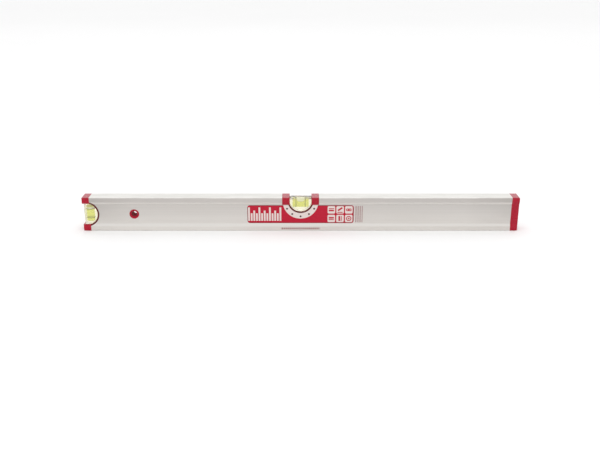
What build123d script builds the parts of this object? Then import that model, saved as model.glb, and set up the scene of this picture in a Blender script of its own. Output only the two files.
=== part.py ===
from build123d import *
import os

# Spirit level with a level vial in its top edge and a plumb vial in its left end.
# Millimetres. X runs along the level, -Y is the front, +Z is up.
# The origin is at the middle of the bottom edge.

# Driving dimensions of the whole level
LENGTH = 600.0
HEIGHT = 48.0
THICKNESS = 20.0

# Aluminium profile
FLANGE_HEIGHT = 6.4
SLOPE_HEIGHT = 3.8
WEB_RECESS = 1.6
WALL = 1.8
FLANGE_WALL = 2.0
OUTER_EDGE_RADIUS = 0.9
FLANGE_EDGE_RADIUS = 0.5
SLOPE_FOOT_RADIUS = 1.5
CHAMBER_RADIUS = 0.6

# Ends
END_LENGTH = 10.4
END_CORNER_RADIUS = 1.6
TONGUE_LENGTH = 12.0
TONGUE_WALL = 1.6
FIT_GAP = 0.15

# Vial housings
WINDOW_HALF_WIDTH = 15.1
RIM_INNER_RADIUS = 15.8
RIM_WIDTH = 2.0
RIM_STANDS_PROUD = 0.3
CENTRE_HOUSING_WIDTH = 50.4
CENTRE_POST_DEPTH = 10.8
CENTRE_RIM_DEPTH = 4.7
PLUMB_RIM_DEPTH = 4.9
POST_WALL = 2.0
PEG_RADIUS = 1.5
PEG_LENGTH = 3.0
BOSS_RADIUS = 2.4
CUT_GAP = 0.1

# Vials
BLOCK_THICKNESS = 17.0
BLOCK_CHAMFER = 0.4
CENTRE_BLOCK_RECESS = 2.6
PLUMB_BLOCK_RECESS = 2.6
CENTRE_VIAL_DEPTH = 9.8
PLUMB_VIAL_DEPTH = 9.8
BORE_MIDDLE_RADIUS = 5.4
BORE_END_RADIUS = 4.9
BORE_HALF_LENGTH = 10.8
LINE_SPACING = 12.4
LINE_WIDTH = 0.6
LINE_INNER_RADIUS = 4.95

# Air bubbles, and the clear channel that the liquid leaves round their travel
CENTRE_BUBBLE_RADIUS = 3.0
CENTRE_BUBBLE_LENGTH = 11.0
CENTRE_BUBBLE_LIFT = 1.6
CENTRE_BUBBLE_TRAVEL = 4.6
PLUMB_BUBBLE_RADIUS = 4.4
PLUMB_BUBBLE_LENGTH = 5.2
PLUMB_BUBBLE_ROUNDING = 1.9
BUBBLE_END_GAP = 0.3
CHANNEL_GAP = 0.2

# Hanging hole and its bush
HANG_HOLE_FROM_END = 71.0
HANG_BORE_RADIUS = 3.9
BUSH_BODY_RADIUS = 5.7
BUSH_FLANGE_RADIUS = 6.6
BUSH_FLANGE_THICKNESS = 0.8
BUSH_MOUTH_CHAMFER = 1.6

# Printed label on the front of the web
LABEL_LENGTH = 146.4
LABEL_HEIGHT = 25.9
LABEL_MIDDLE_Z = 23.75
LABEL_THICKNESS = 0.1
LABEL_CORNER_RADIUS = 3.5
ARC_DEPTH = 6.4
ARC_OUTER_RADIUS = 24.3
DOT_ARC_RADIUS = 21.1
DOT_RADIUS = 1.3
DOT_ANGLES = (-62.0, -33.0, 0.0, 33.0, 62.0)
SCALE_START_X = -71.0
SCALE_PITCH = 3.6
SCALE_BAR_WIDTH = 2.5
SCALE_BASE_Z = 14.0
SCALE_BAR_HEIGHTS = (19.6, 11.0, 15.0, 11.0) * 3 + (19.6,)
TILE_COLUMNS = 3
TILE_ROWS = 2
TILE_LENGTH = 10.4
TILE_HEIGHT = 10.8
TILE_PITCH_X = 12.0
TILE_PITCH_Z = 12.6
TILE_CORNER_RADIUS = 1.8
TILES_CENTRE_X = 54.4
SIGN_SIZE = 7.2
SIGN_BAR = 2.2
SIGN_LINE = 1.1
SIGN_GAP = 1.0

# Worked out from the driving dimensions
HALF_LENGTH = LENGTH / 2
HALF_THICKNESS = THICKNESS / 2
MID_HEIGHT = HEIGHT / 2
WEB_HALF = HALF_THICKNESS - WEB_RECESS
WEB_BOTTOM = FLANGE_HEIGHT
WEB_TOP = HEIGHT - FLANGE_HEIGHT
BEAM_END = HALF_LENGTH - END_LENGTH
RIM_OUTER_RADIUS = RIM_INNER_RADIUS + RIM_WIDTH
HANG_X = -HALF_LENGTH + HANG_HOLE_FROM_END

# Where each vial sits: its window opens towards local +Z, which is up for the level vial
# and towards -X for the plumb vial. Local X runs along the vial.
CENTRE_PLACE = Pos(0, 0, HEIGHT)
PLUMB_PLACE = Pos(-HALF_LENGTH, 0, MID_HEIGHT) * Rot(0, -90, 0)


def box_between(low, high):
    """A block with the given lowest and highest corners."""
    size = [h - l for l, h in zip(low, high)]
    middle = [(l + h) / 2 for l, h in zip(low, high)]
    return Pos(*middle) * Box(*size)


def through_y(front_view, half_depth):
    """A shape drawn in the XZ plane, extruded the same distance to the front and to the back."""
    return extrude(Plane.XZ * front_view, amount=half_depth, both=True)


def along_x(section, start, end):
    """A section drawn in the YZ plane, extruded from one X to another."""
    return extrude(Plane.YZ.offset(start) * section, amount=end - start)


def disc_along_y(radius, x, z, y_start, y_end):
    """A round bar or hole that runs from front to back."""
    return extrude(Plane.XZ.offset(-y_start) * Pos(x, z) * Circle(radius), amount=y_start - y_end)


# Aluminium profile

def profile_section():
    """The outside of the extrusion: two flanges, a recessed web, and slopes between them."""
    half, web = HALF_THICKNESS, WEB_HALF
    quarter = [(half, HEIGHT), (half, WEB_TOP), (web, WEB_TOP - SLOPE_HEIGHT)]
    side = quarter + [(y, HEIGHT - z) for y, z in reversed(quarter)]
    section = make_face(Polyline(*side, *[(-y, z) for y, z in reversed(side)], close=True))
    feet = [v for v in section.vertices() if abs(v.X) < half - 0.1]
    section = fillet(feet, SLOPE_FOOT_RADIUS)
    outer = [v for v in section.vertices() if v.Y < 0.1 or v.Y > HEIGHT - 0.1]
    section = fillet(outer, OUTER_EDGE_RADIUS)
    lips = [
        v for v in section.vertices()
        if abs(v.X) > half - 0.01 and min(abs(v.Y - WEB_BOTTOM), abs(v.Y - WEB_TOP)) < 0.01
    ]
    return fillet(lips, FLANGE_EDGE_RADIUS)


def chamber_sections(gap=0.0):
    """The three hollow chambers, each drawn smaller all round by the gap."""
    flange_chamber_height = FLANGE_HEIGHT - FLANGE_WALL - WALL
    flange_chamber_middle = FLANGE_WALL + flange_chamber_height / 2
    flange_width = THICKNESS - 2 * FLANGE_WALL
    web_width = 2 * (WEB_HALF - WALL)
    chambers = [
        (flange_width, flange_chamber_height, flange_chamber_middle),
        (web_width, WEB_TOP - WEB_BOTTOM, MID_HEIGHT),
        (flange_width, flange_chamber_height, HEIGHT - flange_chamber_middle),
    ]
    return [
        Pos(0, middle) * RectangleRounded(width - 2 * gap, height - 2 * gap, CHAMBER_RADIUS)
        for width, height, middle in chambers
    ]


def make_beam(section):
    """The extrusion, with its vial notches and its hanging hole cut out."""
    beam = along_x(section, -BEAM_END, BEAM_END)
    for chamber in chamber_sections():
        beam -= along_x(chamber, -BEAM_END - 1, BEAM_END + 1)
    cut_radius = RIM_OUTER_RADIUS + CUT_GAP
    notch_depth = CENTRE_POST_DEPTH
    notch = Pos(0, -notch_depth / 2 + 1) * Rectangle(CENTRE_HOUSING_WIDTH + 2 * CUT_GAP, notch_depth + 2)
    notch += Pos(0, -CENTRE_RIM_DEPTH) * Circle(cut_radius)
    beam -= CENTRE_PLACE * through_y(notch, THICKNESS)
    beam -= PLUMB_PLACE * through_y(Pos(0, -PLUMB_RIM_DEPTH) * Circle(cut_radius), THICKNESS)
    beam -= disc_along_y(BUSH_BODY_RADIUS + CUT_GAP, HANG_X, MID_HEIGHT, -THICKNESS, THICKNESS)
    return beam


# Vial housings

def window_view(half_width, radius, rim_depth, top):
    """The D-shaped window: straight sides at the open edge and a round bottom."""
    view = Pos(0, -rim_depth) * Circle(radius)
    height = top + rim_depth
    view += Pos(0, top - height / 2) * Rectangle(2 * radius, height)
    tall = 4 * radius
    view &= Pos(0, top - tall / 2) * Rectangle(2 * half_width, tall)
    return view


def make_housing(section, place, width, post_depth, rim_depth):
    """One vial housing as a single piece: two posts shaped like the profile, joined by the rim."""
    window = window_view(WINDOW_HALF_WIDTH, RIM_INNER_RADIUS, rim_depth, 1.0)
    posts_view = Pos(0, -post_depth / 2) * Rectangle(width, post_depth)
    posts = place * through_y(posts_view - window, THICKNESS)
    posts &= along_x(section, -HALF_LENGTH, HALF_LENGTH)
    rim_view = Pos(0, -rim_depth) * Circle(RIM_OUTER_RADIUS)
    rim_view -= Pos(0, width / 2 - post_depth) * Rectangle(2 * width, width)
    rim = place * through_y(rim_view - window, WEB_HALF + RIM_STANDS_PROUD)
    return posts + rim


def post_middles(width, post_depth):
    """The middle of each post, left and right, in the vial's own frame."""
    x = (WINDOW_HALF_WIDTH + width / 2) / 2
    return [(-x, -post_depth / 2), (x, -post_depth / 2)]


def split_housing(housing, place, width, post_depth):
    """The front and back halves, hollow behind their posts and located by two pegs."""
    far = LENGTH
    halves = {
        "front": housing & box_between((-far, -far, -far), (far, 0, far)),
        "back": housing & box_between((-far, 0, -far), (far, far, far)),
    }
    post_width = width / 2 - WINDOW_HALF_WIDTH
    pocket_x = post_width - 2 * POST_WALL
    pocket_z = post_depth - 2 * POST_WALL
    pocket_y = HALF_THICKNESS - POST_WALL - WEB_RECESS
    for x, z in post_middles(width, post_depth):
        pocket = Pos(x, 0, z) * Box(pocket_x, 2 * pocket_y, pocket_z)
        peg = disc_along_y(PEG_RADIUS, x, z, -pocket_y - 1, PEG_LENGTH)
        boss = disc_along_y(BOSS_RADIUS, x, z, 0, pocket_y + 1)
        boss -= disc_along_y(PEG_RADIUS + CUT_GAP, x, z, -1, PEG_LENGTH + 1)
        halves["front"] = halves["front"] - place * pocket + place * peg
        halves["back"] = halves["back"] - place * pocket + place * boss
    return halves


def round_end_corners(body):
    """Round the level's outermost corners, as seen from the front and from above."""
    body &= through_y(Pos(0, MID_HEIGHT) * RectangleRounded(LENGTH, HEIGHT, END_CORNER_RADIUS), THICKNESS)
    body &= extrude(RectangleRounded(LENGTH, THICKNESS, END_CORNER_RADIUS), amount=HEIGHT)
    return body


def make_plumb_tongues():
    """Tongues that hold the plumb housing's posts in the two flange chambers."""
    lower, _, upper = chamber_sections(FIT_GAP)
    start = -BEAM_END - 1
    return [along_x(view, start, start + TONGUE_LENGTH) for view in (lower, upper)]


# Vials

def barrel(half_length, middle_radius, end_radius):
    """A barrel-shaped solid along local X."""
    outline = Polyline(
        (half_length, end_radius), (half_length, 0), (-half_length, 0), (-half_length, end_radius)
    )
    bulge = ThreePointArc((-half_length, end_radius), (0, middle_radius), (half_length, end_radius))
    return revolve(make_face(outline + bulge), axis=Axis.X)


def rod_along_x(radius, start, end):
    """A round rod along local X."""
    return along_x(Circle(radius), start, end)


def make_line_ring(x):
    """One reading ring, lying against the wall of the bore."""
    slab = rod_along_x(BORE_MIDDLE_RADIUS + 1, x - LINE_WIDTH / 2, x + LINE_WIDTH / 2)
    slab -= rod_along_x(LINE_INNER_RADIUS, x - LINE_WIDTH, x + LINE_WIDTH)
    return slab & barrel(BORE_HALF_LENGTH, BORE_MIDDLE_RADIUS, BORE_END_RADIUS)


def make_block_and_plug(rim_depth, recess, vial_depth):
    """The clear D-shaped block, whose bore is open at one side, and the plug that fills the mouth."""
    view = window_view(
        WINDOW_HALF_WIDTH - FIT_GAP, RIM_INNER_RADIUS - FIT_GAP, rim_depth, -recess
    )
    block = through_y(view, BLOCK_THICKNESS / 2)
    faces = block.faces().filter_by(Axis.Y)
    block = chamfer([edge for face in faces for edge in face.edges()], BLOCK_CHAMFER)
    bore = barrel(BORE_HALF_LENGTH, BORE_MIDDLE_RADIUS, BORE_END_RADIUS)
    mouth = rod_along_x(BORE_END_RADIUS, BORE_HALF_LENGTH, 2 * BORE_HALF_LENGTH)
    axis = Pos(0, 0, -vial_depth)
    plug = block & axis * mouth
    return block - axis * bore - axis * mouth, plug


def make_vial(name, place, rim_depth, recess, vial_depth, bubble, channel, line_names):
    """All the pieces of one vial, placed in the level."""
    axis_place = place * Pos(0, 0, -vial_depth)
    lines = [make_line_ring(side * LINE_SPACING / 2) for side in (-1, 1)]
    liquid = barrel(BORE_HALF_LENGTH, BORE_MIDDLE_RADIUS, BORE_END_RADIUS) - channel
    for line in lines:
        liquid -= line
    block, plug = make_block_and_plug(rim_depth, recess, vial_depth)
    pieces = {
        name + "_vial_block": place * block,
        name + "_vial_plug": place * plug,
        name + "_vial_liquid": axis_place * liquid,
        name + "_vial_bubble": axis_place * bubble,
    }
    for line_name, line in zip(line_names, lines):
        pieces[name + "_vial_line_" + line_name] = axis_place * line
    return pieces


def capsule(radius, length):
    """A round-ended rod along local X, centred on the origin."""
    half = length / 2 - radius
    rod = rod_along_x(radius, -half, half)
    return rod + Pos(-half, 0, 0) * Sphere(radius) + Pos(half, 0, 0) * Sphere(radius)


def make_centre_bubble():
    """The level vial's bubble, up against the top of the bore, and the channel it slides in."""
    lift = Pos(0, 0, CENTRE_BUBBLE_LIFT)
    channel_length = CENTRE_BUBBLE_LENGTH + 2 * CENTRE_BUBBLE_TRAVEL + 2 * CHANNEL_GAP
    bubble = lift * capsule(CENTRE_BUBBLE_RADIUS, CENTRE_BUBBLE_LENGTH)
    channel = lift * capsule(CENTRE_BUBBLE_RADIUS + CHANNEL_GAP, channel_length)
    return bubble, channel


def make_plumb_bubble():
    """The plumb vial's bubble, at the upper end of its upright bore, and the channel it slides in."""
    top = BORE_HALF_LENGTH - BUBBLE_END_GAP
    bubble = rod_along_x(PLUMB_BUBBLE_RADIUS, top - PLUMB_BUBBLE_LENGTH, top)
    bubble = fillet(bubble.edges().filter_by(GeomType.CIRCLE), PLUMB_BUBBLE_ROUNDING)
    reach = BORE_HALF_LENGTH - BUBBLE_END_GAP / 3
    channel = rod_along_x(PLUMB_BUBBLE_RADIUS + CHANNEL_GAP, -reach, reach)
    return bubble, channel


# Right end cap, hanging bush and label

def face_circle(shape, y, radius):
    """The round edges of one radius that lie in the face at the given Y."""
    return [
        edge for edge in shape.edges().filter_by(GeomType.CIRCLE)
        if abs(edge.center().Y - y) < 0.01 and abs(edge.radius - radius) < 0.01
    ]


def make_end_cap(section):
    """A hollow cap shaped like the profile, with tongues that plug into the beam's chambers."""
    cap = along_x(section, BEAM_END, HALF_LENGTH)
    cap = round_end_corners(cap)
    for view in chamber_sections(FIT_GAP):
        cap += along_x(view, BEAM_END - TONGUE_LENGTH, BEAM_END + 1)
    core_half_width = WEB_HALF - WALL - FIT_GAP - TONGUE_WALL
    core_margin = WEB_BOTTOM + FIT_GAP + TONGUE_WALL
    core_low = (BEAM_END - TONGUE_LENGTH - 1, -core_half_width, core_margin)
    core_high = (HALF_LENGTH - 2 * TONGUE_WALL, core_half_width, HEIGHT - core_margin)
    return cap - box_between(core_low, core_high)


def make_hang_bush():
    """The back half of the bush: a flanged sleeve with a countersunk mouth."""
    outer_face = WEB_HALF + BUSH_FLANGE_THICKNESS
    bush = disc_along_y(BUSH_BODY_RADIUS, 0, 0, 0, WEB_HALF)
    bush += disc_along_y(BUSH_FLANGE_RADIUS, 0, 0, WEB_HALF, outer_face)
    bush -= disc_along_y(HANG_BORE_RADIUS, 0, 0, -1, outer_face + 1)
    bush = chamfer(face_circle(bush, outer_face, HANG_BORE_RADIUS), BUSH_MOUTH_CHAMFER)
    return fillet(face_circle(bush, outer_face, BUSH_FLANGE_RADIUS), BUSH_FLANGE_THICKNESS / 2)


def tile_places():
    """The middle of each tile, from the lower left one."""
    return [
        Pos(
            TILES_CENTRE_X + (column - (TILE_COLUMNS - 1) / 2) * TILE_PITCH_X,
            LABEL_MIDDLE_Z + (row - (TILE_ROWS - 1) / 2) * TILE_PITCH_Z,
        )
        for column in range(TILE_COLUMNS)
        for row in range(TILE_ROWS)
    ]


def tile_signs():
    """Six plain signs, one for each tile: the ways to hold a level, a hanging ring and a vial."""
    bar = Rectangle(SIGN_SIZE, SIGN_BAR)
    line = Pos(0, -(SIGN_BAR + SIGN_LINE) / 2 - SIGN_GAP) * Rectangle(SIGN_SIZE, SIGN_LINE)
    on_base = Pos(0, SIGN_GAP) * bar + Pos(0, SIGN_GAP) * line
    sloping = Pos(0, SIGN_GAP) * Rot(0, 0, 35) * bar + Pos(0, -SIGN_GAP) * line
    ring = Circle(SIGN_SIZE / 2) - Circle(SIGN_SIZE / 2 - SIGN_LINE) + Rectangle(SIGN_BAR, SIGN_BAR)
    vial = RectangleRounded(SIGN_SIZE, SIGN_SIZE / 2, SIGN_LINE)
    vial -= RectangleRounded(SIGN_SIZE - 2 * SIGN_LINE, SIGN_SIZE / 2 - 2 * SIGN_LINE, SIGN_LINE / 2)
    vial += Circle(SIGN_LINE)
    return [on_base, Rot(0, 0, 180) * on_base, Rot(0, 0, 90) * on_base, sloping, ring, vial]


def scale_bars():
    """The pale bars at the left of the label, like the marks of a rule."""
    return [
        Pos(SCALE_START_X + i * SCALE_PITCH, SCALE_BASE_Z + height / 2) * Rectangle(SCALE_BAR_WIDTH, height)
        for i, height in enumerate(SCALE_BAR_HEIGHTS)
    ]


def make_label():
    """A thin printed film, open round the vial, with dots in the open arc and signs in the open tiles."""
    arc_centre = Pos(0, HEIGHT - ARC_DEPTH)
    film = Pos(0, LABEL_MIDDLE_Z) * RectangleRounded(LABEL_LENGTH, LABEL_HEIGHT, LABEL_CORNER_RADIUS)
    film -= arc_centre * Circle(ARC_OUTER_RADIUS)
    for bar in scale_bars():
        film -= bar
    for place, sign in zip(tile_places(), tile_signs()):
        film -= place * RectangleRounded(TILE_LENGTH, TILE_HEIGHT, TILE_CORNER_RADIUS)
        film += place * sign
    for angle in DOT_ANGLES:
        film += arc_centre * Rot(0, 0, angle) * Pos(0, -DOT_ARC_RADIUS) * Circle(DOT_RADIUS)
    return extrude(Plane.XZ.offset(WEB_HALF) * film, amount=LABEL_THICKNESS)


def make_pieces():
    """Every piece of the level, by node name."""
    section = profile_section()
    pieces = {"beam": make_beam(section), "end_cap": make_end_cap(section), "front_label": make_label()}

    centre = make_housing(section, CENTRE_PLACE, CENTRE_HOUSING_WIDTH, CENTRE_POST_DEPTH, CENTRE_RIM_DEPTH)
    halves = split_housing(centre, CENTRE_PLACE, CENTRE_HOUSING_WIDTH, CENTRE_POST_DEPTH)
    for side, half in halves.items():
        pieces["centre_housing_" + side] = half

    plumb = make_housing(section, PLUMB_PLACE, HEIGHT, END_LENGTH, PLUMB_RIM_DEPTH)
    for tongue in make_plumb_tongues():
        plumb += tongue
    plumb = round_end_corners(plumb)
    halves = split_housing(plumb, PLUMB_PLACE, HEIGHT, END_LENGTH)
    for side, half in halves.items():
        pieces["plumb_housing_" + side] = half

    bubble, channel = make_centre_bubble()
    pieces.update(make_vial(
        "centre", CENTRE_PLACE, CENTRE_RIM_DEPTH, CENTRE_BLOCK_RECESS, CENTRE_VIAL_DEPTH,
        bubble, channel, ("left", "right"),
    ))
    bubble, channel = make_plumb_bubble()
    pieces.update(make_vial(
        "plumb", PLUMB_PLACE, PLUMB_RIM_DEPTH, PLUMB_BLOCK_RECESS, PLUMB_VIAL_DEPTH,
        bubble, channel, ("lower", "upper"),
    ))

    bush = make_hang_bush()
    hang_place = Pos(HANG_X, 0, MID_HEIGHT)
    pieces["hang_bush_back"] = hang_place * bush
    pieces["hang_bush_front"] = hang_place * Rot(0, 0, 180) * bush
    return pieces


os.makedirs("parts", exist_ok=True)
for node, shape in make_pieces().items():
    export_step(shape, "parts/" + node + ".step")
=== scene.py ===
import math

import bmesh
import bpy
from mathutils import Matrix, Vector


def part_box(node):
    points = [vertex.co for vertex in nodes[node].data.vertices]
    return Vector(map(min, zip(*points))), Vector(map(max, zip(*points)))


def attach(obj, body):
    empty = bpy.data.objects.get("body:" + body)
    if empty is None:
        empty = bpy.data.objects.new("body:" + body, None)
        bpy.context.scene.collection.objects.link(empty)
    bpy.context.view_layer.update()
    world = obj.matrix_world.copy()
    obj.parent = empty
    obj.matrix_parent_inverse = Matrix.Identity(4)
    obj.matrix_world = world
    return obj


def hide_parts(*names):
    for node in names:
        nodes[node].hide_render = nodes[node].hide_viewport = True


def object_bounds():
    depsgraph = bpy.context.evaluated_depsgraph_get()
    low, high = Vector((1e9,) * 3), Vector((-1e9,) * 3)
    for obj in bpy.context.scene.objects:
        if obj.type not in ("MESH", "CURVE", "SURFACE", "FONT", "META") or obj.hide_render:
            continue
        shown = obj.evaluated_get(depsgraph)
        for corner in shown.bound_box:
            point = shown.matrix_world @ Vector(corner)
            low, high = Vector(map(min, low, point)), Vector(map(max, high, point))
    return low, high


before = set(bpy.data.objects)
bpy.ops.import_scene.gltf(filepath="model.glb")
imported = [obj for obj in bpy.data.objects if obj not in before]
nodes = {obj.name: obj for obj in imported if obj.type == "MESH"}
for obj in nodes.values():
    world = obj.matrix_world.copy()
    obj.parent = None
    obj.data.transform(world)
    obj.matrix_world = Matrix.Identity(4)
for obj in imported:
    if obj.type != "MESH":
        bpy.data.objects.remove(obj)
cad_low, cad_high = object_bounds()

MM = 0.001
HEIGHT = cad_high.z - cad_low.z
MID_HEIGHT = (cad_low.z + cad_high.z) / 2

# Shapes of the CAD model that the boxes of its nodes don't give
WEB_HALF = 8.4 * MM
RIM_STANDS_PROUD = 0.3 * MM
RIM_OUTER_RADIUS = 17.8 * MM
CENTRE_RIM_DEPTH = 4.7 * MM
PLUMB_RIM_DEPTH = 4.9 * MM
CENTRE_POST_DEPTH = 10.8 * MM
PLUMB_POST_LENGTH = 10.4 * MM
BLOCK_RADIUS = 15.65 * MM
LABEL_ARC_DEPTH = 6.4 * MM
LABEL_ARC_RADIUS = 24.3 * MM

# Fine print on the front of the beam
COLUMNS_MIDDLE = (80.2 * MM, 23.75 * MM)
COLUMNS_HALF_WIDTH = 5.3 * MM
COLUMNS_HALF_HEIGHT = 11.8 * MM
ROW_MIDDLE = (0.0, 3.4 * MM)
ROW_HALF_WIDTH = 26.6 * MM
ROW_HALF_HEIGHT = 1.3 * MM
TICK_PITCH = 2.9 * MM
COLUMN_LINE_PITCH = 1.0 * MM
EDGE_SOFTNESS = 0.1 * MM

# Vials
BLOCK_BEVEL = 0.45 * MM
BORE_RADIUS = 5.2 * MM
BORE_END_ROUNDING = 0.8 * MM
BUBBLE_CLEARANCE = 0.05 * MM
CENTRE_BUBBLE_HALF_WIDTH = 4.3 * MM
CENTRE_BUBBLE_BELLY = 1.4 * MM
PLUMB_BUBBLE_ROUNDING = 1.8 * MM
LINE_THICKNESS = 0.28 * MM
VIAL_GLOW_LENGTH = 14.5 * MM
VIAL_GLOW_WIDTH = 8.6 * MM

# Stage, with the camera's tilt in degrees
FLOOR_HALF_SIZE = 14.0
CAMERA_PLACE = (-0.0008, -1.082, 0.400)
CAMERA_LOOKS_DOWN = 20.065
CAMERA_LENS = 49.55

# Each vial's frame: the window opens towards +Z, and X runs along the vial
CENTRE_PLACE = Matrix.Translation((0, 0, cad_high.z))
PLUMB_PLACE = Matrix.Translation((cad_low.x, 0, MID_HEIGHT)) @ Matrix.Rotation(-math.pi / 2, 4, "Y")

# The axes that the vials lie along, as places in a vector
X, Z = 0, 2


def middle_of(low, high):
    """The middle between two corners."""
    return (low + high) / 2


# Node helpers

def new_material(name):
    """An empty material with its output and Principled shader, and the means to add to them."""
    material = bpy.data.materials.new(name)
    material.use_nodes = True
    tree = material.node_tree
    tree.nodes.clear()
    output = tree.nodes.new("ShaderNodeOutputMaterial")
    shader = tree.nodes.new("ShaderNodeBsdfPrincipled")
    tree.links.new(shader.outputs["BSDF"], output.inputs["Surface"])
    return material, tree, shader


def object_places(tree, scale):
    """Object coordinates, stretched by the scale along each axis."""
    coordinates = tree.nodes.new("ShaderNodeTexCoord")
    mapping = tree.nodes.new("ShaderNodeMapping")
    mapping.inputs["Scale"].default_value = scale
    tree.links.new(coordinates.outputs["Object"], mapping.inputs["Vector"])
    return mapping.outputs["Vector"]


def object_axes(tree):
    """Object coordinates as three separate values."""
    coordinates = tree.nodes.new("ShaderNodeTexCoord")
    split = tree.nodes.new("ShaderNodeSeparateXYZ")
    tree.links.new(coordinates.outputs["Object"], split.inputs["Vector"])
    return split.outputs["X"], split.outputs["Y"], split.outputs["Z"]


def noise(tree, places, detail=3.0, roughness=0.55):
    """A noise value, from 0 to 1, with one cell to each unit of the places."""
    texture = tree.nodes.new("ShaderNodeTexNoise")
    texture.inputs["Scale"].default_value = 1.0
    texture.inputs["Detail"].default_value = detail
    texture.inputs["Roughness"].default_value = roughness
    tree.links.new(places, texture.inputs["Vector"])
    return texture.outputs["Fac"]


def remap(tree, value, from_low, from_high, to_low, to_high):
    """A value moved from one range to another, and kept inside it."""
    node = tree.nodes.new("ShaderNodeMapRange")
    node.inputs["From Min"].default_value = from_low
    node.inputs["From Max"].default_value = from_high
    node.inputs["To Min"].default_value = to_low
    node.inputs["To Max"].default_value = to_high
    tree.links.new(value, node.inputs["Value"])
    return node.outputs["Result"]


def blend_colours(tree, factor, first, second):
    """A colour between two others. Each is a plain colour or another node's output."""
    node = tree.nodes.new("ShaderNodeMix")
    node.data_type = "RGBA"
    tree.links.new(factor, node.inputs["Factor"])
    for socket, colour in (("A", first), ("B", second)):
        target = [i for i in node.inputs if i.name == socket and i.type == "RGBA"][0]
        if isinstance(colour, tuple):
            target.default_value = (*colour, 1.0)
        else:
            tree.links.new(colour, target)
    return [o for o in node.outputs if o.type == "RGBA"][0]


def mottle(tree, value, first, second):
    """A colour that wanders between two others with a noise value."""
    return blend_colours(tree, remap(tree, value, 0.3, 0.7, 0.0, 1.0), first, second)


def overlay(tree, base, mask, colour, strength=1.0):
    """A base colour, with another laid over it where the mask is 1."""
    return blend_colours(tree, remap(tree, mask, 0.0, 1.0, 0.0, strength), base, colour)


def calculate(tree, operation, first, second=0.0):
    """One sum on two values. Each is a number or another node's output."""
    node = tree.nodes.new("ShaderNodeMath")
    node.operation = operation
    for socket, value in zip(node.inputs, (first, second)):
        if isinstance(value, (int, float)):
            socket.default_value = value
        else:
            tree.links.new(value, socket)
    return node.outputs["Value"]


def multiply(tree, first, *others):
    """The product of several values. Each is a number or another node's output."""
    product = first
    for other in others:
        product = calculate(tree, "MULTIPLY", product, other)
    return product


def gap(tree, value, place):
    """How far a value is from a place, to either side of it."""
    return calculate(tree, "ABSOLUTE", calculate(tree, "SUBTRACT", value, place))


def distance_from(tree, axes, x, z, unit_x=1.0, unit_z=1.0):
    """How far a point is from an axis that runs from front to back, in the two units."""
    beside = calculate(tree, "DIVIDE", calculate(tree, "SUBTRACT", axes[0], x), unit_x)
    above = calculate(tree, "DIVIDE", calculate(tree, "SUBTRACT", axes[2], z), unit_z)
    squares = calculate(tree, "ADD", multiply(tree, beside, beside), multiply(tree, above, above))
    return calculate(tree, "SQRT", squares)


def below(tree, value, limit, softness):
    """1 where the value is under the limit, and 0 where it is over it."""
    return remap(tree, value, limit - softness, limit + softness, 1.0, 0.0)


def inside_rectangle(tree, axes, middle, half_x, half_z):
    """1 inside a rectangle seen from the front, and 0 outside it."""
    beside = below(tree, gap(tree, axes[0], middle[0]), half_x, EDGE_SOFTNESS)
    above = below(tree, gap(tree, axes[2], middle[1]), half_z, EDGE_SOFTNESS)
    return multiply(tree, beside, above)


def inside_label(tree, axes, margin):
    """1 inside the printed label's outline, drawn in by the margin, and 0 outside it."""
    low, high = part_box("front_label")
    middle = middle_of(low, high)
    half = (high - low) / 2
    return inside_rectangle(tree, axes, (middle.x, middle.z), half.x - margin, half.z - margin)


def ticks(tree, value, pitch, share):
    """1 on ticks that take up a share of each pitch, and 0 between them."""
    place_in_pitch = calculate(tree, "FRACT", calculate(tree, "DIVIDE", value, pitch))
    return below(tree, place_in_pitch, share, 0.06)


def add_bump(tree, shader, height, distance, strength):
    """Fine relief on the surface, its depth in metres."""
    node = tree.nodes.new("ShaderNodeBump")
    node.inputs["Distance"].default_value = distance
    node.inputs["Strength"].default_value = strength
    tree.links.new(height, node.inputs["Height"])
    tree.links.new(node.outputs["Normal"], shader.inputs["Normal"])


# Materials

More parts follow.
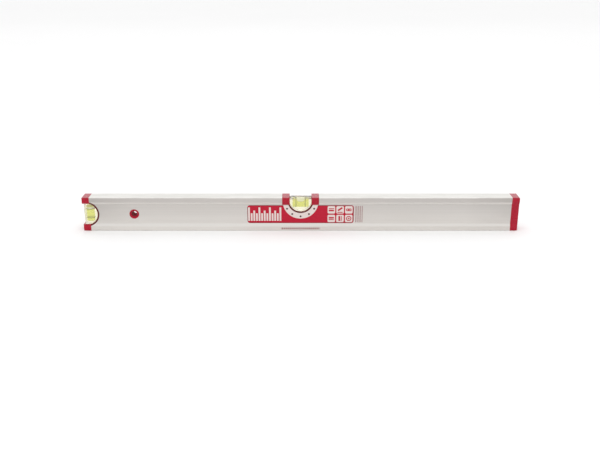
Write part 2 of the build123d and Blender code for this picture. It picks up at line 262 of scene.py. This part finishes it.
def anodised_aluminium():
    """Satin anodised extrusion: die lines along it, faint mottling, milled top and bottom faces, and
    painted reflection and shade.
    """
    material, tree, shader = new_material("anodised_aluminium")
    shader.inputs["Metallic"].default_value = 1.0
    lines = noise(tree, object_places(tree, (1.5, 900.0, 900.0)), 4.0, 0.6)
    cloud = noise(tree, object_places(tree, (6.0, 40.0, 40.0)))
    grain = noise(tree, object_places(tree, (2500.0, 2500.0, 2500.0)), 2.0)
    milling = noise(tree, object_places(tree, (1400.0, 60.0, 60.0)))
    handling = noise(tree, object_places(tree, (25.0, 110.0, 110.0)), 5.0, 0.7)
    axes = object_axes(tree)
    along, across, height = axes

    # The measuring faces, the edges that hands and walls rub, and the slopes beside the web, lightened as
    # a painted reflection
    from_middle = gap(tree, height, MID_HEIGHT)
    milled = remap(tree, from_middle, HEIGHT / 2 - 0.3 * MM, HEIGHT / 2 - 0.05 * MM, 0.0, 1.0)
    near_edge = remap(tree, from_middle, HEIGHT / 2 - 1.8 * MM, HEIGHT / 2 - 0.4 * MM, 0.0, 1.0)
    rubbed = multiply(tree, near_edge, remap(tree, handling, 0.42, 0.62, 0.2, 1.0))
    depth = calculate(tree, "ABSOLUTE", across)
    past_web = remap(tree, depth, WEB_HALF + 0.05 * MM, WEB_HALF + 0.25 * MM, 0.0, 1.0)
    painted_slope_highlight = multiply(tree, past_web, below(tree, depth, cad_high.y - 0.15 * MM, 0.1 * MM))

    # Painted reflection, lighter towards the bottom and greyer towards the top; painted shade greying the
    # ends; and bare bright metal where the label leaves it open
    rise = remap(tree, height, cad_low.z + 2 * MM, cad_high.z - 3 * MM, 0.0, 1.0)
    from_centre = calculate(tree, "ABSOLUTE", along)
    # Painted shade: the ends are greyed as if further from the light
    near_end = remap(tree, from_centre, cad_high.x - 75 * MM, cad_high.x - 10 * MM, 0.0, 0.5)
    patchy = remap(tree, cloud, 0.3, 0.7, 0.6, 1.0)
    painted_end_shade = multiply(tree, near_end, patchy, remap(tree, rise, 0.1, 0.95, 0.25, 1.0))
    front = below(tree, across, 0.0, MM)
    open_label = multiply(tree, inside_label(tree, axes, 0.5 * MM), front)

    # Fine printed ticks on the front: columns beside the label, and one row below it
    columns = inside_rectangle(tree, axes, COLUMNS_MIDDLE, COLUMNS_HALF_WIDTH, COLUMNS_HALF_HEIGHT)
    columns = multiply(tree, columns, ticks(tree, along, TICK_PITCH, 0.62))
    columns = multiply(tree, columns, ticks(tree, height, COLUMN_LINE_PITCH, 0.55))
    row = inside_rectangle(tree, axes, ROW_MIDDLE, ROW_HALF_WIDTH, ROW_HALF_HEIGHT)
    row = multiply(tree, row, ticks(tree, along, TICK_PITCH, 0.55))
    fine_print = multiply(tree, calculate(tree, "MAXIMUM", columns, row), front)

    # Painted reflection: lighter low down and greyer high up, blended by height
    painted_bright_low = mottle(tree, lines, (0.735, 0.705, 0.67), (0.79, 0.76, 0.725))
    painted_dim_top = mottle(tree, lines, (0.48, 0.455, 0.435), (0.55, 0.52, 0.50))
    base = blend_colours(tree, rise, painted_bright_low, painted_dim_top)
    base = blend_colours(tree, remap(tree, cloud, 0.35, 0.7, 0.0, 0.4), base, (0.64, 0.605, 0.57))
    base = overlay(tree, base, painted_end_shade, (0.34, 0.32, 0.30))
    # Painted reflection on the slopes beside the web
    base = overlay(tree, base, painted_slope_highlight, (0.72, 0.695, 0.665), 0.85)
    base = overlay(tree, base, open_label, (0.77, 0.675, 0.645), 0.85)
    base = overlay(tree, base, fine_print, (0.24, 0.035, 0.045), 0.9)
    base = overlay(tree, base, milled, (0.735, 0.725, 0.69))
    base = overlay(tree, base, rubbed, (0.86, 0.84, 0.81), 0.55)
    tree.links.new(base, shader.inputs["Base Color"])

    rough = remap(tree, cloud, 0.3, 0.7, 0.40, 0.47)
    rough = calculate(tree, "ADD", rough, remap(tree, lines, 0.3, 0.7, -0.04, 0.04))
    rough = calculate(tree, "SUBTRACT", rough, multiply(tree, rubbed, 0.06))
    rough = calculate(tree, "SUBTRACT", rough, multiply(tree, milled, 0.04))
    tree.links.new(rough, shader.inputs["Roughness"])

    relief = calculate(tree, "ADD", multiply(tree, lines, 0.8), multiply(tree, grain, 0.35))
    relief = calculate(tree, "ADD", relief, multiply(tree, milling, 0.9, milled))
    add_bump(tree, shader, relief, 0.03 * MM, 0.5)
    return material


def window_rim(tree, axes, x, z, clear_of_posts):
    """1 within the rim of one window, away from the posts beside it, and 0 elsewhere."""
    ring = below(tree, distance_from(tree, axes, x, z), RIM_OUTER_RADIUS + 0.05 * MM, 0.03 * MM)
    return multiply(tree, ring, clear_of_posts)


def red_plastic():
    """Glossy red moulded plastic with fine scuffs, top and bottom faces paled by wear and by a painted
    highlight, and painted shade darkening the rim round each window.
    """
    material, tree, shader = new_material("red_plastic")
    flow = noise(tree, object_places(tree, (60.0, 60.0, 60.0)), 2.0)
    scuffs = noise(tree, object_places(tree, (400.0, 900.0, 1500.0)), 4.0, 0.65)
    peel = noise(tree, object_places(tree, (1100.0, 1100.0, 1100.0)), 2.0)
    axes = object_axes(tree)
    along, across, height = axes

    # The faces of the rims, which stand a little proud of the web
    depth = calculate(tree, "ABSOLUTE", across)
    on_rim_face = below(tree, depth, WEB_HALF + RIM_STANDS_PROUD + 0.08 * MM, 0.02 * MM)
    on_rim_face = multiply(tree, on_rim_face, remap(tree, depth, WEB_HALF - 1.0 * MM, WEB_HALF, 0.0, 1.0))
    under_posts = below(tree, height, cad_high.z - CENTRE_POST_DEPTH, 0.02 * MM)
    past_posts = calculate(tree, "GREATER_THAN", along, cad_low.x + PLUMB_POST_LENGTH)
    centre_rim = window_rim(tree, axes, 0.0, cad_high.z - CENTRE_RIM_DEPTH, under_posts)
    plumb_rim = window_rim(tree, axes, cad_low.x + PLUMB_RIM_DEPTH, MID_HEIGHT, past_posts)
    painted_rim_shade = multiply(tree, calculate(tree, "MAXIMUM", centre_rim, plumb_rim), on_rim_face)

    # The top and bottom faces, which rub on walls and benches, paled by wear, with a painted highlight on
    # the top
    from_middle = gap(tree, height, MID_HEIGHT)
    wear_and_top_highlight = remap(tree, from_middle, HEIGHT / 2 - 0.7 * MM, HEIGHT / 2 - 0.2 * MM, 0.0, 1.0)
    wear_and_top_highlight = multiply(tree, wear_and_top_highlight, remap(tree, scuffs, 0.35, 0.6, 0.75, 1.0))

    base = mottle(tree, flow, (0.35, 0.001, 0.017), (0.40, 0.002, 0.022))
    base = overlay(tree, base, wear_and_top_highlight, (0.42, 0.085, 0.105))
    # Painted shade: the window rims darkened to stand in for the shade in the gap round each block
    base = overlay(tree, base, painted_rim_shade, (0.105, 0.010, 0.013))
    tree.links.new(base, shader.inputs["Base Color"])
    tree.links.new(remap(tree, scuffs, 0.45, 0.75, 0.24, 0.38), shader.inputs["Roughness"])
    shader.inputs["IOR"].default_value = 1.5
    shader.inputs["Specular IOR Level"].default_value = 0.28
    add_bump(tree, shader, peel, 0.04 * MM, 0.35)
    return material


def bush_plastic():
    """The duller red plastic of the bush, scuffed by nails and hooks."""
    material, tree, shader = new_material("bush_plastic")
    scuffs = noise(tree, object_places(tree, (900.0, 400.0, 900.0)), 4.0, 0.65)
    scuffed = remap(tree, scuffs, 0.35, 0.7, 0.0, 1.0)
    base = blend_colours(tree, scuffed, (0.36, 0.016, 0.034), (0.42, 0.022, 0.044))
    tree.links.new(base, shader.inputs["Base Color"])
    tree.links.new(remap(tree, scuffs, 0.4, 0.75, 0.5, 0.68), shader.inputs["Roughness"])
    shader.inputs["Specular IOR Level"].default_value = 0.06
    add_bump(tree, shader, scuffs, 0.05 * MM, 0.4)
    return material


def red_print():
    """Screen-printed red ink of uneven density, with a darker border and nearly black dots in the arc."""
    material, tree, shader = new_material("red_print")
    density = noise(tree, object_places(tree, (120.0, 120.0, 500.0)))
    speckle = noise(tree, object_places(tree, (3000.0, 3000.0, 3000.0)), 2.0)
    axes = object_axes(tree)
    inner = inside_label(tree, axes, 0.8 * MM)
    from_arc = distance_from(tree, axes, 0.0, cad_high.z - LABEL_ARC_DEPTH)
    dots = below(tree, from_arc, LABEL_ARC_RADIUS - 1.0 * MM, 0.1 * MM)
    base = mottle(tree, density, (0.44, 0.006, 0.027), (0.49, 0.009, 0.033))
    base = blend_colours(tree, inner, (0.20, 0.006, 0.016), base)
    base = overlay(tree, base, dots, (0.05, 0.008, 0.012))
    tree.links.new(base, shader.inputs["Base Color"])
    tree.links.new(remap(tree, speckle, 0.3, 0.7, 0.34, 0.44), shader.inputs["Roughness"])
    shader.inputs["Specular IOR Level"].default_value = 0.2
    add_bump(tree, shader, speckle, 0.02 * MM, 0.3)
    return material


def vial_glow(tree, axes, vial, half_x, half_z):
    """1 round one vial's liquid, and 0 away from it: where the acrylic carries the painted glow."""
    low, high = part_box(vial + "_vial_liquid")
    middle = middle_of(low, high)
    return remap(tree, distance_from(tree, axes, middle.x, middle.z, half_x, half_z), 0.8, 1.05, 1.0, 0.0)


def clear_acrylic():
    """Clear acrylic with a warm tint and faint polishing marks, and a painted glow of liquid-tinted light
    round each vial.
    """
    material, tree, shader = new_material("clear_acrylic")
    marks = noise(tree, object_places(tree, (300.0, 300.0, 1200.0)))
    axes = object_axes(tree)
    centre_glow = vial_glow(tree, axes, "centre", VIAL_GLOW_LENGTH, VIAL_GLOW_WIDTH)
    plumb_glow = vial_glow(tree, axes, "plumb", VIAL_GLOW_WIDTH, VIAL_GLOW_LENGTH)
    painted_liquid_glow = calculate(tree, "MAXIMUM", centre_glow, plumb_glow)
    tint = mottle(tree, marks, (0.95, 0.87, 0.76), (0.97, 0.90, 0.80))
    # Painted glow: liquid-tinted light laid over the acrylic round each vial
    tint = overlay(tree, tint, painted_liquid_glow, (0.95, 0.935, 0.66))
    tree.links.new(tint, shader.inputs["Base Color"])
    tree.links.new(remap(tree, marks, 0.4, 0.8, 0.01, 0.06), shader.inputs["Roughness"])
    shader.inputs["IOR"].default_value = 1.49
    shader.inputs["Transmission Weight"].default_value = 0.9
    return material


def vial_liquid():
    """Yellow-green vial liquid. Its index is relative to the acrylic round it."""
    material, tree, shader = new_material("vial_liquid")
    swirl = noise(tree, object_places(tree, (150.0, 150.0, 150.0)), 2.0)
    tint = mottle(tree, swirl, (0.86, 0.90, 0.26), (0.90, 0.92, 0.34))
    tree.links.new(tint, shader.inputs["Base Color"])
    shader.inputs["Roughness"].default_value = 0.0
    shader.inputs["IOR"].default_value = 1.04
    shader.inputs["Transmission Weight"].default_value = 0.85
    return material


def air_bubble():
    """The air bubble, paler than the liquid round it, with a weak painted glow standing in for the light
    that it gathers.
    """
    material, tree, shader = new_material("air_bubble")
    haze = noise(tree, object_places(tree, (200.0, 200.0, 200.0)), 2.0)
    tint = mottle(tree, haze, (0.97, 0.98, 0.90), (0.99, 0.99, 0.94))
    tree.links.new(tint, shader.inputs["Base Color"])
    shader.inputs["Roughness"].default_value = 0.05
    shader.inputs["IOR"].default_value = 1.12
    shader.inputs["Transmission Weight"].default_value = 0.2
    # Painted glow: emission standing in for light the bubble gathers
    shader.inputs["Emission Color"].default_value = (1.0, 1.0, 0.93, 1.0)
    shader.inputs["Emission Strength"].default_value = 0.16
    return material


def black_ring():
    """The dark reading rings."""
    material, tree, shader = new_material("black_ring")
    grain = noise(tree, object_places(tree, (2000.0, 2000.0, 2000.0)), 2.0)
    base = blend_colours(tree, grain, (0.012, 0.020, 0.004), (0.025, 0.038, 0.008))
    tree.links.new(base, shader.inputs["Base Color"])
    tree.links.new(remap(tree, grain, 0.3, 0.7, 0.45, 0.6), shader.inputs["Roughness"])
    return material


def pale_floor():
    """The plain pale surface that the level stands on."""
    material, tree, shader = new_material("pale_floor")
    shade = noise(tree, object_places(tree, (3.0, 3.0, 3.0)), 2.0)
    base = blend_colours(tree, shade, (0.935, 0.935, 0.935), (0.955, 0.955, 0.955))
    tree.links.new(base, shader.inputs["Base Color"])
    shader.inputs["Roughness"].default_value = 0.9
    return material


aluminium = anodised_aluminium()
red = red_plastic()
bush_red = bush_plastic()
print_red = red_print()
acrylic = clear_acrylic()
liquid_material = vial_liquid()
bubble_material = air_bubble()
ring_material = black_ring()


def dress(node, material):
    """Give a CAD node its material."""
    slots = nodes[node].material_slots
    if not slots:
        nodes[node].data.materials.append(material)
    for slot in slots:
        slot.material = material


dress("beam", aluminium)
dress("end_cap", red)
for node in ("centre_housing_front", "centre_housing_back", "plumb_housing_front", "plumb_housing_back"):
    dress(node, red)
for node in ("hang_bush_front", "hang_bush_back"):
    dress(node, bush_red)
dress("front_label", print_red)
for vial, sides in (("centre", ("left", "right")), ("plumb", ("lower", "upper"))):
    dress(vial + "_vial_block", acrylic)
    dress(vial + "_vial_plug", acrylic)
    dress(vial + "_vial_liquid", liquid_material)
    dress(vial + "_vial_bubble", bubble_material)
    for side in sides:
        dress(vial + "_vial_line_" + side, ring_material)


# Mesh helpers

def new_piece(name, bm, material, body, place, smooth_angle=40.0):
    """Turn a bmesh into a piece that rides on a body."""
    bm.transform(place)
    bmesh.ops.recalc_face_normals(bm, faces=bm.faces)
    mesh = bpy.data.meshes.new(name)
    bm.to_mesh(mesh)
    bm.free()
    piece = bpy.data.objects.new(name, mesh)
    bpy.context.scene.collection.objects.link(piece)
    mesh.materials.append(material)
    mesh.shade_smooth()
    mesh.set_sharp_from_angle(angle=math.radians(smooth_angle))
    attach(piece, body)
    return piece


def join_rings(bm, rings, closed=False):
    """Faces between each ring of points and the next, and from the last to the first if closed."""
    following = rings[1:] + rings[:1] if closed else rings[1:]
    for near, far in zip(rings, following):
        for i in range(len(near)):
            j = (i + 1) % len(near)
            bm.faces.new((near[i], near[j], far[j], far[i]))


def close_tip(bm, ring, tip):
    """A fan of faces from a ring to one point."""
    point = bm.verts.new(tip)
    for i in range(len(ring)):
        bm.faces.new((ring[i], ring[(i + 1) % len(ring)], point))


def circle_points(bm, x, radius, segments=64):
    """A ring of points about the X axis."""
    turns = [2 * math.pi * i / segments for i in range(segments)]
    return [bm.verts.new((x, radius * math.sin(turn), radius * math.cos(turn))) for turn in turns]


def rounded_rod(start, end, radius, rounding, rounding_steps=6, length_steps=12):
    """A round rod along X, closed and rounded at both ends."""
    bm = bmesh.new()
    quarter = [math.pi / 2 * i / rounding_steps for i in range(1, rounding_steps + 1)]
    corner = [(rounding * (1 - math.sin(t)), radius - rounding * (1 - math.cos(t))) for t in quarter]
    outline = [(start + inset, r) for inset, r in reversed(corner)]
    for i in range(length_steps + 1):
        outline.append((start + rounding + (end - start - 2 * rounding) * i / length_steps, radius))
    outline += [(end - inset, r) for inset, r in corner]
    rings = [circle_points(bm, x, r) for x, r in outline]
    join_rings(bm, rings)
    close_tip(bm, rings[0], (start, 0, 0))
    close_tip(bm, rings[-1], (end, 0, 0))
    return bm


# Vials

def block_outline(rim_depth, recess, half_width):
    """The D-shaped outline of a vial block in its own XZ plane, open side up."""
    steps = 48
    start = math.asin(half_width / BLOCK_RADIUS)
    points = [(-half_width, -recess), (half_width, -recess)]
    for i in range(steps + 1):
        turn = start - 2 * start * i / steps
        points.append((BLOCK_RADIUS * math.sin(turn), -rim_depth - BLOCK_RADIUS * math.cos(turn)))
    return points


def make_block(name, place, outline, half_thickness):
    """A solid clear block with softened edges."""
    bm = bmesh.new()
    front = bm.faces.new([bm.verts.new((x, -half_thickness, z)) for x, z in outline])
    sides = bmesh.ops.extrude_face_region(bm, geom=[front])
    moved = [item for item in sides["geom"] if isinstance(item, bmesh.types.BMVert)]
    bmesh.ops.translate(bm, verts=moved, vec=(0, 2 * half_thickness, 0))
    bmesh.ops.recalc_face_normals(bm, faces=bm.faces)
    sharp = [edge for edge in bm.edges if edge.calc_face_angle(0) > math.radians(40)]
    bmesh.ops.bevel(bm, geom=sharp, offset=BLOCK_BEVEL, segments=3, profile=0.5, affect="EDGES")
    return new_piece(name, bm, acrylic, "level", place)


def make_line(name, place, x, width):
    """A dark reading ring round the bore, with a rectangular section."""
    bm = bmesh.new()
    inner = BORE_RADIUS + 2 * BUBBLE_CLEARANCE
    outer = inner + LINE_THICKNESS
    near = x - width / 2
    far = x + width / 2
    corners = ((near, inner), (far, inner), (far, outer), (near, outer))
    join_rings(bm, [circle_points(bm, *corner) for corner in corners], closed=True)
    return new_piece(name, bm, ring_material, "level", place)


def make_centre_bubble(name, place, half_length):
    """A long bubble that lies against the top of the bore, with a rounded belly below."""
    bm = bmesh.new()
    section_steps = 28
    points_across = 24
    radius = BORE_RADIUS + BUBBLE_CLEARANCE
    rings = []
    for i in range(1, section_steps):
        turn = math.pi * (i / section_steps - 0.5)
        x = half_length * math.sin(turn)
        share = (1 - abs(x / half_length) ** 3) ** (1 / 3)
        half_width = CENTRE_BUBBLE_HALF_WIDTH * share
        edge_angle = math.asin(half_width / radius)
        edge_height = radius * math.cos(edge_angle)
        ring = []
        for j in range(points_across):
            angle = edge_angle * (1 - 2 * j / points_across)
            ring.append(bm.verts.new((x, radius * math.sin(angle), radius * math.cos(angle))))
        for j in range(points_across):
            angle = math.pi * j / points_across
            depth = CENTRE_BUBBLE_BELLY * share * math.sin(angle)
            ring.append(bm.verts.new((x, -half_width * math.cos(angle), edge_height - depth)))
        rings.append(ring)
    join_rings(bm, rings)
    close_tip(bm, rings[0], (-half_length, 0, radius))
    close_tip(bm, rings[-1], (half_length, 0, radius))
    return new_piece(name, bm, bubble_material, "centre_bubble", place, 60.0)


def make_plumb_bubble(name, place, low, high):
    """A short bubble as wide as the bore, with rounded ends."""
    bm = rounded_rod(low, high, BORE_RADIUS + BUBBLE_CLEARANCE, PLUMB_BUBBLE_ROUNDING, length_steps=2)
    return new_piece(name, bm, bubble_material, "plumb_bubble", place, 60.0)


def make_vial(vial, place, along, rim_depth, recess, lines):
    """The block, liquid and reading rings of one vial. Returns the frame of its bore."""
    block_low, block_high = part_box(vial + "_vial_block")
    liquid_low, liquid_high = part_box(vial + "_vial_liquid")
    outline = block_outline(rim_depth, recess, (block_high[along] - block_low[along]) / 2)
    block = make_block(vial + "_clear_block", place, outline, (block_high.y - block_low.y) / 2)
    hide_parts(vial + "_vial_block", vial + "_vial_plug")

    bore_middle = middle_of(liquid_low, liquid_high)
    axis_place = Matrix.Translation(bore_middle) @ place.to_quaternion().to_matrix().to_4x4()
    half_length = (liquid_high[along] - liquid_low[along]) / 2
    bm = rounded_rod(-half_length, half_length, BORE_RADIUS, BORE_END_ROUNDING)
    liquid = new_piece(vial + "_liquid", bm, liquid_material, "level", axis_place)
    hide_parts(vial + "_vial_liquid")
    for side in lines:
        node = vial + "_vial_line_" + side
        low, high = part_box(node)
        x = middle_of(low, high)[along] - bore_middle[along]
        line = make_line(vial + "_reading_ring_" + side, axis_place, x, high[along] - low[along])
        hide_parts(node)
    return axis_place


centre_recess = cad_high.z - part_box("centre_vial_block")[1].z
plumb_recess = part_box("plumb_vial_block")[0].x - cad_low.x
centre_bore = make_vial("centre", CENTRE_PLACE, X, CENTRE_RIM_DEPTH, centre_recess, ("left", "right"))
plumb_bore = make_vial("plumb", PLUMB_PLACE, Z, PLUMB_RIM_DEPTH, plumb_recess, ("lower", "upper"))

bubble_low, bubble_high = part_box("centre_vial_bubble")
centre_bubble = make_centre_bubble("centre_air_bubble", centre_bore, (bubble_high.x - bubble_low.x) / 2)
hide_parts("centre_vial_bubble")
bubble_low, bubble_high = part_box("plumb_vial_bubble")
bore_height = plumb_bore.translation.z
plumb_bubble = make_plumb_bubble(
    "plumb_air_bubble", plumb_bore, bubble_low.z - bore_height, bubble_high.z - bore_height
)
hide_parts("plumb_vial_bubble")


# Floor, lights and camera

def make_floor():
    """A plain pale floor that reaches past the camera's view."""
    bm = bmesh.new()
    bmesh.ops.create_grid(bm, x_segments=1, y_segments=1, size=FLOOR_HALF_SIZE)
    mesh = bpy.data.meshes.new("floor")
    bm.to_mesh(mesh)
    bm.free()
    floor = bpy.data.objects.new("floor", mesh)
    bpy.context.scene.collection.objects.link(floor)
    floor.location.z = cad_low.z
    mesh.materials.append(pale_floor())


def add_softbox(name, place, target, width, height, power):
    """A large soft lamp, turned to face a point."""
    lamp = bpy.data.lights.new(name, "AREA")
    lamp.shape = "RECTANGLE"
    lamp.size = width
    lamp.size_y = height
    lamp.energy = power
    holder = bpy.data.objects.new(name, lamp)
    bpy.context.scene.collection.objects.link(holder)
    holder.location = place
    holder.rotation_euler = (Vector(target) - Vector(place)).to_track_quat("-Z", "Y").to_euler()
    holder.visible_camera = False


def make_world(strength):
    """Even pale light from all round."""
    world = bpy.data.worlds.new("studio")
    world.use_nodes = True
    background = world.node_tree.nodes["Background"]
    background.inputs["Color"].default_value = (1.0, 1.0, 1.0, 1.0)
    background.inputs["Strength"].default_value = strength
    bpy.context.scene.world = world


def make_camera():
    """The camera, in front of the level and above it, looking down at it."""
    camera = bpy.data.cameras.new("camera")
    camera.sensor_width = 36.0
    camera.lens = CAMERA_LENS
    camera.clip_end = 100.0
    holder = bpy.data.objects.new("camera", camera)
    bpy.context.scene.collection.objects.link(holder)
    holder.location = CAMERA_PLACE
    holder.rotation_euler = (math.radians(90.0 - CAMERA_LOOKS_DOWN), 0.0, 0.0)
    bpy.context.scene.camera = holder


make_floor()
make_world(1.0)
add_softbox("top_softbox", (0.0, 0.1, 1.5), (0.0, 0.0, 0.0), width=2.4, height=1.4, power=2.2)
add_softbox("back_softbox", (0.0, 2.2, 1.0), (0.0, 0.0, 0.05), width=3.0, height=1.2, power=1.2)
add_softbox("front_softbox", (0.0, -0.9, 1.9), (0.0, 0.0, 0.02), width=1.6, height=0.9, power=4.5)
make_camera()
bpy.context.scene.view_settings.view_transform = "Standard"
